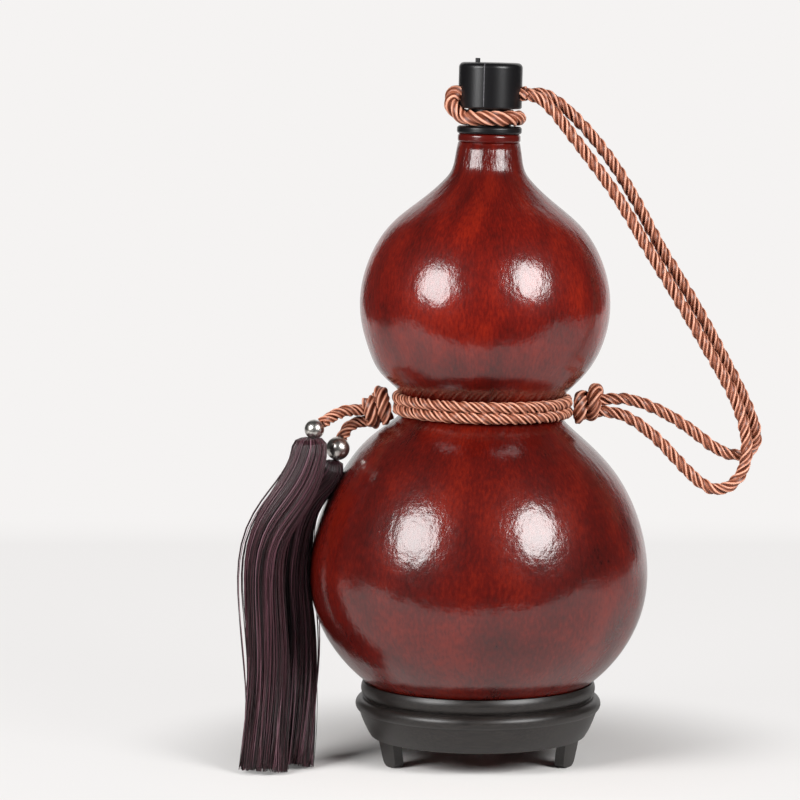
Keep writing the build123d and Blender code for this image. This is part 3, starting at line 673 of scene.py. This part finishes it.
outside = gourd_profile(0, NECK_TOP_RADIUS, (-0.18, 0.98))
inside = gourd_profile(SHELL_WALL, NECK_RADIUS - SHELL_WALL, (0, 1))[::-1]
gourd = turned("gourd", np.concatenate([outside, inside]), LACQUER, columns=256, growth=grown_radius)
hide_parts("gourd_shell")


def finish_node(material, *nodes):
    """Gives CAD nodes a material."""
    for name in nodes:
        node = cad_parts[name]
        node.data.materials.clear()
        node.data.materials.append(material)


# Parting line of the mould: a fine ridge down the front of the knob, a little left of its middle, coloured
# pale as a painted highlight
LINE_TURN = math.radians(-103)
LINE_RADIUS = 0.17 * MM
LINE_FOOT = 0.9 * MM
round_over = np.linspace(0, math.pi / 2, 8)
line_radii = np.concatenate([[KNOB_RADIUS], KNOB_RADIUS - KNOB_TOP_ROUND * (1 - np.cos(round_over))])
line_heights = np.concatenate([
    [KNOB_FOOT_HEIGHT + LINE_FOOT],
    KNOB_FOOT_HEIGHT + KNOB_HEIGHT - KNOB_TOP_ROUND * (1 - np.sin(round_over)),
])
line_path = on_bottle(line_radii, np.full(len(line_radii), LINE_TURN), line_heights)
parting_line = grid_mesh(
    "knob_parting_line", [tube_grid(evenly_spaced(line_path, 0.5 * MM), LINE_RADIUS, 8)], FLASH,
)
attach(parting_line, "stopper")

finish_node(LACQUER, "neck_band")
finish_node(WAX, "wax_lining")
finish_node(PLASTIC, "mouth_ring", "stopper_knob")
finish_node(RUBBER, "stopper_plug", "stopper_seal")
finish_node(WOOD, "stand_ring", "stand_leg_1", "stand_leg_2", "stand_leg_3")


# Cords

# The two strap strands, from the stopper down to the right knot
strap_routes = {"strap_strand_outer": STRAP_OUTER_ROUTE, "strap_strand_inner": STRAP_INNER_ROUTE}
for node, route in strap_routes.items():
    path = nurbs_path(route)
    strand = rope_mesh(node.replace("strand", "rope"), path, node, first_side=(0, 0, 1))
    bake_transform(strand)

# The hitch: in through the slot, down the left side, once round the shank and back
# The cord lies slack in the hitch, so its plies open a little
HITCH_SWELL = 1.24
HITCH_GAP = 0.1 * MM
HITCH_FLOAT = 0.5 * MM
hitch_thickness = HITCH_SWELL * CORD_RADIUS
hitch_drop = SLOT_HEIGHT - FLANGE_TOP_HEIGHT - hitch_thickness - HITCH_FLOAT
hitch_ring = SHANK_RADIUS + hitch_thickness + HITCH_GAP
hitch_reach = KNOB_RADIUS + hitch_thickness + HITCH_GAP
slot_centre = BOTTLE_FOOT + BOTTLE_UP * SLOT_HEIGHT
half_hitch = [
    (KNOB_RADIUS + 1.8 * MM, STRAND_OFFSET, 0), (KNOB_RADIUS, STRAND_OFFSET, 0),
    (0, STRAND_OFFSET, 0),
    (-KNOB_RADIUS + 2 * MM, STRAND_OFFSET, 0), (-hitch_reach + 0.5 * MM, STRAND_OFFSET, -0.2 * MM),
    (-hitch_reach - 0.2 * MM, STRAND_OFFSET + 0.3 * MM, -0.5 * hitch_drop),
    (-hitch_ring * 0.95, STRAND_OFFSET + 2.2 * MM, -hitch_drop),
]
ring_turns = np.radians([128, 104, 78, 52, 26, 0])
ring_reach = hitch_ring * 1.02
ring_points = [
    (ring_reach * math.cos(turn), ring_reach * math.sin(turn), -hitch_drop) for turn in ring_turns
]
rear_half = np.array(half_hitch + ring_points)
front_half = (rear_half * (1, -1, 1))[::-1][1:]
hitch_local = np.concatenate([rear_half, front_half])
hitch_points = (
    slot_centre + hitch_local[:, :1] * BOTTLE_SIDE + hitch_local[:, 1:2] * BOTTLE_BACK
    + hitch_local[:, 2:] * BOTTLE_UP
)
rope(
    "hitch_rope", nurbs_path(hitch_points), "stopper", "cap_hitch",
    scale=HITCH_SWELL, first_side=(0, 0, 1), last_side=(0, 0, 1),
)

# Waist cords: one turn each, pulled tight, so that they thin a little and nest together
BELT_TIGHTNESS = 0.94
BELT_NESTING = 0.87
BELT_END_TURN = 0.089
for node, level, start in (("waist_cord_upper", 0.5, 0), ("waist_cord_lower", -0.5, math.pi)):
    turn = np.linspace(start + BELT_END_TURN, start + 2 * math.pi - BELT_END_TURN, 360)
    path = on_bottle(BELT_RADIUS, turn, WAIST_HEIGHT + level * BELT_NESTING * BELT_PITCH)
    rope(
        node.replace("cord", "rope"), path, "bottle", node,
        lay=BELT_LAY, scale=BELT_TIGHTNESS, first_side=BOTTLE_UP,
    )


KNOT_END_TURN = 0.14
KNOT_SWELL = 1.2


def knot_path(side, drop, radius, taper, climb, lean_share, turns):
    """Wraps round a line along X that step outwards, a little longer than the solid at each end.

    A point goes round a circle that narrows by the taper and climbs by the climb in each turn, and
    stands out by the pitch times the turns done, plus its height times the lean share.
    """
    reach = math.sqrt(BELT_RADIUS**2 - radius**2) + CORD_DIAMETER + KNOT_GAP
    start = reach + CORD_DIAMETER * (KNOT_PITCH / (2 * math.pi * radius) + lean_share)
    done = np.linspace(-KNOT_END_TURN, turns + KNOT_END_TURN, 160)
    turn = 2 * math.pi * done
    narrowed = radius - taper * done
    out = side * (start + KNOT_PITCH * done + lean_share * narrowed * np.sin(turn))
    centre = BOTTLE_FOOT + BOTTLE_UP * (WAIST_HEIGHT - drop)
    return (
        centre + out[:, None] * BOTTLE_SIDE - (narrowed * np.cos(turn))[:, None] * BOTTLE_BACK
        + (narrowed * np.sin(turn) + climb * done)[:, None] * BOTTLE_UP
    )


right_knot_path = knot_path(1, 1.1 * MM, 4.4 * MM, 0, 3.0 * MM, -0.15, 1.25)
left_knot_path = knot_path(-1, 2.0 * MM, 6.4 * MM, 1.0 * MM, -1.0 * MM, 0.05, 1.0)
for name, path in (("right_knot", right_knot_path), ("left_knot", left_knot_path)):
    rope(f"{name}_rope", path, "bottle", name, lay=BELT_LAY, scale=KNOT_SWELL, first_side=(1, 0, 0))


# Beads and tassels

SKIRT_STRANDS = 1060
SKIRT_ROWS = 28
THREAD_RADIUS = 0.25 * MM
THREAD_TAPER = 0.4
THREAD_WINDING = 1.1
THREAD_SWAY = 0.05
CUT_SPREAD = 0.018
# The rows stand closer together at the top
ROW_CROWDING = 1.35
# Least square of a thread's share of the section's radius
INNER_DEPTH = 0.45
# The smooth core that the threads hide, as a share of the silk's radius; it takes the darkest silk colour, as
# painted shade in the gaps between the threads
CORE_SHARE = 0.80
# Locks that the threads are drawn into: how far, how many round, how they wind down, and their start
SILK_LOCKS = [(0.09, 6, 2.2, 0.0), (0.06, 11, -3.0, 1.0)]
# Loose threads of each tassel: how many, and the side where they stand out
STRAYS = [(8, 1.5 * math.pi), (5, 0.5 * math.pi)]
STRAY_REACH = 3.4 * MM
random = np.random.default_rng(7)


def skirt_line(stations):
    """A smooth line of middles and radii through a skirt's stations."""
    ways = [stations[1] - stations[0], stations[-1] - stations[-2]]
    ways = [way / np.linalg.norm(way) for way in ways]
    return evenly_spaced(clamped_spline(stations, ways[0], ways[1], 10), 1.0 * MM)


def silk_skirt(name, stations, node, body, strays, stray_turn):
    """Silk threads that fall side by side round a tassel's middle line.

    A thread keeps a place in the round section, as a turn and a share of the radius. It winds on
    with the root of the way down, is drawn into locks by sines of its turn, and wanders slowly by
    sine waves of its own. It is cut at its own height. The strays stand out on one side. A thread
    that reaches the floor lies on it.
    """
    line = skirt_line(stations)
    sides, others = carried_frames(line[:, :3], (0, 1, 0))
    number = (SKIRT_STRANDS, 1)
    cut = np.abs(random.normal(0, CUT_SPREAD, number))
    share = np.linspace(0, 1, SKIRT_ROWS) ** ROW_CROWDING * (1 - cut)
    at = share * (len(line) - 1)
    steps = np.arange(len(line))
    middle, side, other = [
        np.stack([np.interp(at, steps, part[:, i]) for i in range(3)], axis=-1)
        for part in (line, sides, others)
    ]
    turn = random.uniform(0, 2 * math.pi, number)
    depth = np.sqrt(random.uniform(INNER_DEPTH, 1.0, number))
    sway = random.normal(0, THREAD_SWAY, number)
    free = sway * np.sin(share * random.uniform(4, 11, number) + random.uniform(0, 6, number))
    locks = sum(pull * np.sin(count * turn + wind * share + start) for pull, count, wind, start in SILK_LOCKS)
    turns = turn + THREAD_WINDING * share**0.5 + (free + locks) * (0.25 + share)
    bulge = random.normal(0, THREAD_SWAY, number)
    breathe = 1 + bulge * np.sin(share * random.uniform(5, 12, number)) * share
    lobes = 1 + 0.05 * np.sin(7 * turn + 4 * share)
    radius = np.interp(at, steps, line[:, 3]) * depth * breathe * lobes
    loose = np.arange(SKIRT_STRANDS)[:, None] < strays
    turns = np.where(loose, stray_turn + random.normal(0, 0.4, number) + free, turns)
    reach = STRAY_REACH * np.sin(math.pi * share) ** 2 * random.uniform(0.4, 1.2, number)
    radius = np.where(loose, radius + reach, radius)
    path = middle + radius[..., None] * (np.cos(turns)[..., None] * side + np.sin(turns)[..., None] * other)
    path[..., 2] = np.maximum(path[..., 2], THREAD_RADIUS)
    corner = np.arange(3) * 2 * math.pi / 3 + random.uniform(0, 2, (SKIRT_STRANDS, 1, 1))
    corner = corner[..., None]
    thick = THREAD_RADIUS * (1 - THREAD_TAPER * share)[:, :, None, None]
    ring = path[:, :, None] + thick * (
        np.cos(corner) * side[:, :, None] + np.sin(corner) * other[:, :, None]
    )
    caps = [np.repeat(path[:, i:i + 1, None], 3, axis=2) for i in (0, SKIRT_ROWS - 1)]
    threads = np.concatenate([caps[0], ring, caps[1]], axis=1)
    shades = random.uniform(0, 1, SKIRT_STRANDS) ** 1.5
    core = line[:-4:3].copy()
    core[:, 3] *= CORE_SHARE
    grids = [*threads, tube_grid(core[:, :3], core[:, 3], 20, (0, 1, 0))]
    # The core's shade of 0.0 is the darkest silk colour: painted shade between the threads
    skirt = grid_mesh(name, grids, SILK, kept=("thread_shade", [*shades, 0.0]))
    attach(skirt, body)
    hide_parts(node)


def turned_about(name, centre, axis, profile, material, columns, body, node, kept=None):
    """A profile of radius and distance along an axis, turned round that axis."""
    axis = axis / np.linalg.norm(axis)
    sides, others = carried_frames(np.stack([centre, centre + axis]), (0, 1, 0))
    turn = np.linspace(0, 2 * math.pi, columns, endpoint=False)
    ring = np.cos(turn)[:, None] * sides[0] + np.sin(turn)[:, None] * others[0]
    points = centre + profile[:, 0][:, None, None] * ring[None] + profile[:, 1][:, None, None] * axis
    piece = grid_mesh(name, [points], material, kept=kept)
    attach(piece, body)
    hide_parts(node)


def hang_tassel(number, stations):
    """A bead with its thread, the bound collar under it and the silk, which ride on one body."""
    body = f"tassel_{number + 1}"
    centre, bead_radius = BEAD_CENTRES[number], BEAD_RADII[number]
    skirt_top = stations[3, :3]
    collar_up = skirt_top - stations[4, :3]
    collar_up = collar_up / np.linalg.norm(collar_up)
    collar_top = skirt_top + collar_up * COLLAR_HEIGHT
    down = collar_top - centre
    down = down / np.linalg.norm(down)

    # Bead: a ball with a drilled hole along the thread, whose wall closes the profile
    edge = math.acos(BEAD_HOLE_RADIUS / bead_radius)
    tilt = np.linspace(edge, -edge, 40)
    ball = np.stack([bead_radius * np.cos(tilt), bead_radius * np.sin(tilt)], axis=1)
    turned_about(
        f"bead_ball_{number + 1}", centre, down, np.concatenate([ball, ball[:1]]), STEEL, 48, body,
        f"bead_{number + 1}",
    )

    # Thread, from inside the bead's hole to the collar
    thread_top = centre - down * bead_radius * THREAD_TOP_SHARE
    thread_path = evenly_spaced(np.stack([thread_top, collar_top]), 0.4 * MM)
    thread = grid_mesh(
        f"bead_thread_{number + 1}", [tube_grid(thread_path, BEAD_THREAD_RADIUS, 10)], SILK,
        kept=("thread_shade", [0.4]),
    )
    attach(thread, body)
    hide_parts(f"tassel_thread_{number + 1}")

    # Bound collar: ribs of wound thread, rounded over at both ends
    rise = np.linspace(0, 1, 60)
    roundness = np.clip(COLLAR_ROUNDING * rise * (1 - rise), 0, 1) ** 0.5
    ribs = COLLAR_RADII[number] * roundness * (1 + RIB_DEPTH * np.cos(rise * RIB_TURN))
    profile = np.stack([ribs, rise * COLLAR_HEIGHT], axis=1)
    turned_about(
        f"bound_collar_{number + 1}", skirt_top, collar_up, profile, SILK, 40, body,
        f"tassel_collar_{number + 1}", kept=("thread_shade", [0.2]),
    )
    silk_skirt(f"silk_skirt_{number + 1}", stations, f"tassel_skirt_{number + 1}", body, *STRAYS[number])


for number, stations in enumerate((SKIRT_1_STATIONS, SKIRT_2_STATIONS)):
    hang_tassel(number, stations)

# The two tails, from the left knot to the beads
for number, route in enumerate((TAIL_1_ROUTE, TAIL_2_ROUTE)):
    path = nurbs_path(route, 0.4 * MM)
    rope(
        f"tail_rope_{number + 1}", path, "bottle", f"cord_tail_{number + 1}",
        lay=BELT_LAY, first_side=(0, 0, 1),
    )


# Floor, backdrop, lamps and camera

# The sheet of paper, in metres: it lies flat from its front edge, widens to the back and bends up
FLOOR_FRONT = -0.28
WIDE_FROM = 1.0
BEND_START = 2.0
BEND_RADIUS = 0.5
BACKDROP_TOP = 3.4
SHEET_SIDES = (-0.75, 1.1)
SHEET_WIDENING = 1.6


def paper_sweep():
    """Matt pale paper: right under the bottle it takes light and shadow alone, and around it also glows
    to the eye; that glow fades in towards the bottle, which paints a wider soft shadow round the stand
    over the real one. Further back, as the eye and any gloss see it, it glows evenly at just under white.
    """
    material, shader = new_material("pale_paper_sweep", Roughness=0.9, Specular_IOR_Level=0.1)
    shader.inputs["Base Color"].default_value = linear("efedeb")
    place = place_in(material)
    depth = add(material, "ShaderNodeSeparateXYZ", links={"Vector": place}).outputs["Y"]
    smooth = {"interpolation_type": "SMOOTHSTEP"}
    back = ranged(material, depth, smooth | {"From Min": 0.1, "From Max": 0.75})
    ray = add(material, "ShaderNodeLightPath").outputs
    gloss = combined(material, "MAXIMUM", ray["Is Glossy Ray"], ray["Is Transmission Ray"])
    seen = combined(material, "MAXIMUM", ray["Is Camera Ray"], gloss)
    far_share = combined(material, "MULTIPLY", seen, back)
    # Painted shadow: the glow that the eye sees fades out towards the bottle, from 0.17 m in to 0.055 m
    away = add(material, "ShaderNodeVectorMath", {"operation": "LENGTH"}, {0: place}).outputs["Value"]
    around = ranged(material, away, smooth | {"From Min": 0.055, "From Max": 0.17, "To Max": 0.9})
    near_share = combined(material, "MULTIPLY", around, ray["Is Camera Ray"])
    share = combined(material, "MAXIMUM", far_share, near_share)
    glow = add(material, "ShaderNodeEmission", {"Color": linear("f5f3f2"), "Strength": 1.0})
    mixed = add(
        material, "ShaderNodeMixShader",
        links={0: share, 1: shader.outputs["BSDF"], 2: glow.outputs["Emission"]},
    ).outputs["Shader"]
    output = material.node_tree.nodes["Material Output"]
    material.node_tree.links.new(mixed, output.inputs["Surface"])
    return material


def floor_and_backdrop():
    """A pale sweep: a floor that widens to the back and curves up into a backdrop behind the bottle."""
    reach = np.linspace(0, math.pi / 2, 16)
    rear = BEND_START + BEND_RADIUS
    bend = np.stack([
        BEND_START + BEND_RADIUS * np.sin(reach), BEND_RADIUS - BEND_RADIUS * np.cos(reach),
    ], axis=1)
    side_view = np.concatenate([[(FLOOR_FRONT, 0.0), (WIDE_FROM, 0.0)], bend, [(rear, BACKDROP_TOP)]])
    widening = np.interp(side_view[:, :1], [WIDE_FROM, rear], [1.0, SHEET_WIDENING])
    grid = np.empty((len(side_view), 2, 3))
    grid[..., 0] = np.array(SHEET_SIDES) * widening
    grid[..., 1] = side_view[:, :1]
    grid[..., 2] = side_view[:, 1:]
    grid_mesh("floor_sweep", [grid], paper_sweep(), wraps=False)


def studio_world():
    """A dim grey room that the eye sees as pale. Gloss sees it pale behind the bottle, at the right."""
    world = bpy.data.worlds.new("studio")
    bpy.context.scene.world = world
    world.use_nodes = True
    background = world.node_tree.nodes["Background"]
    background.inputs["Color"].default_value = linear("f5f3f2")
    way = add(world, "ShaderNodeTexCoord").outputs["Generated"]
    parts = add(world, "ShaderNodeSeparateXYZ", links={"Vector": way}).outputs
    behind = ranged(world, parts["Y"], {"From Min": 0.7, "From Max": 0.95})
    right = ranged(world, parts["X"], {"From Min": -0.2, "From Max": 0.2, "To Max": 0.85})
    quarter = combined(world, "MULTIPLY", behind, right)
    ray = add(world, "ShaderNodeLightPath").outputs
    gloss = combined(world, "MAXIMUM", ray["Is Glossy Ray"], ray["Is Transmission Ray"])
    shown = combined(world, "MULTIPLY", gloss, quarter)
    seen = combined(world, "MAXIMUM", ray["Is Camera Ray"], shown)
    strength = ranged(world, seen, {"To Min": 0.06, "To Max": 1.0})
    world.node_tree.links.new(strength, background.inputs["Strength"])


floor_and_backdrop()
studio_world()


def lamp(name, place, aim, radius, power):
    """A round softbox that faces a point."""
    light = bpy.data.lights.new(name, "AREA")
    light.shape = "DISK"
    light.size = radius * 2
    light.energy = power
    carrier = bpy.data.objects.new(name, light)
    away = np.array(place) - np.array(aim)
    away = away / np.linalg.norm(away)
    side = np.cross((0, 0, 1), away)
    side = side / np.linalg.norm(side)
    turn = Matrix(np.stack([side, np.cross(away, side), away], axis=1).tolist())
    carrier.matrix_world = Matrix.Translation(place) @ turn.to_4x4()
    bpy.context.scene.collection.objects.link(carrier)


BOTTLE_MIDDLE = (0, 0, 0.15)
lamp("softbox_left", place=(-0.675, -0.600, 0.540), aim=BOTTLE_MIDDLE, radius=0.26, power=10.0)
lamp("softbox_right", place=(0.705, -0.770, 0.669), aim=BOTTLE_MIDDLE, radius=0.30, power=14.6)

# The photo's eye: its place, its tilt in degrees, and its focal length and frame in pixels
EYE_PLACE = (-0.033, -1.556, 0.318)
EYE_TILT = 6.08
FOCAL_PIXELS = 3726
FRAME_PIXELS = 800
FILM_WIDTH = 36

camera_data = bpy.data.cameras.new("camera")
camera_data.sensor_width = FILM_WIDTH
camera_data.lens = FOCAL_PIXELS / FRAME_PIXELS * FILM_WIDTH
camera = bpy.data.objects.new("camera", camera_data)
camera.location = EYE_PLACE
camera.rotation_euler = (math.radians(90 - EYE_TILT), 0, 0)
bpy.context.scene.collection.objects.link(camera)
bpy.context.scene.camera = camera
bpy.context.scene.view_settings.view_transform = "Standard"
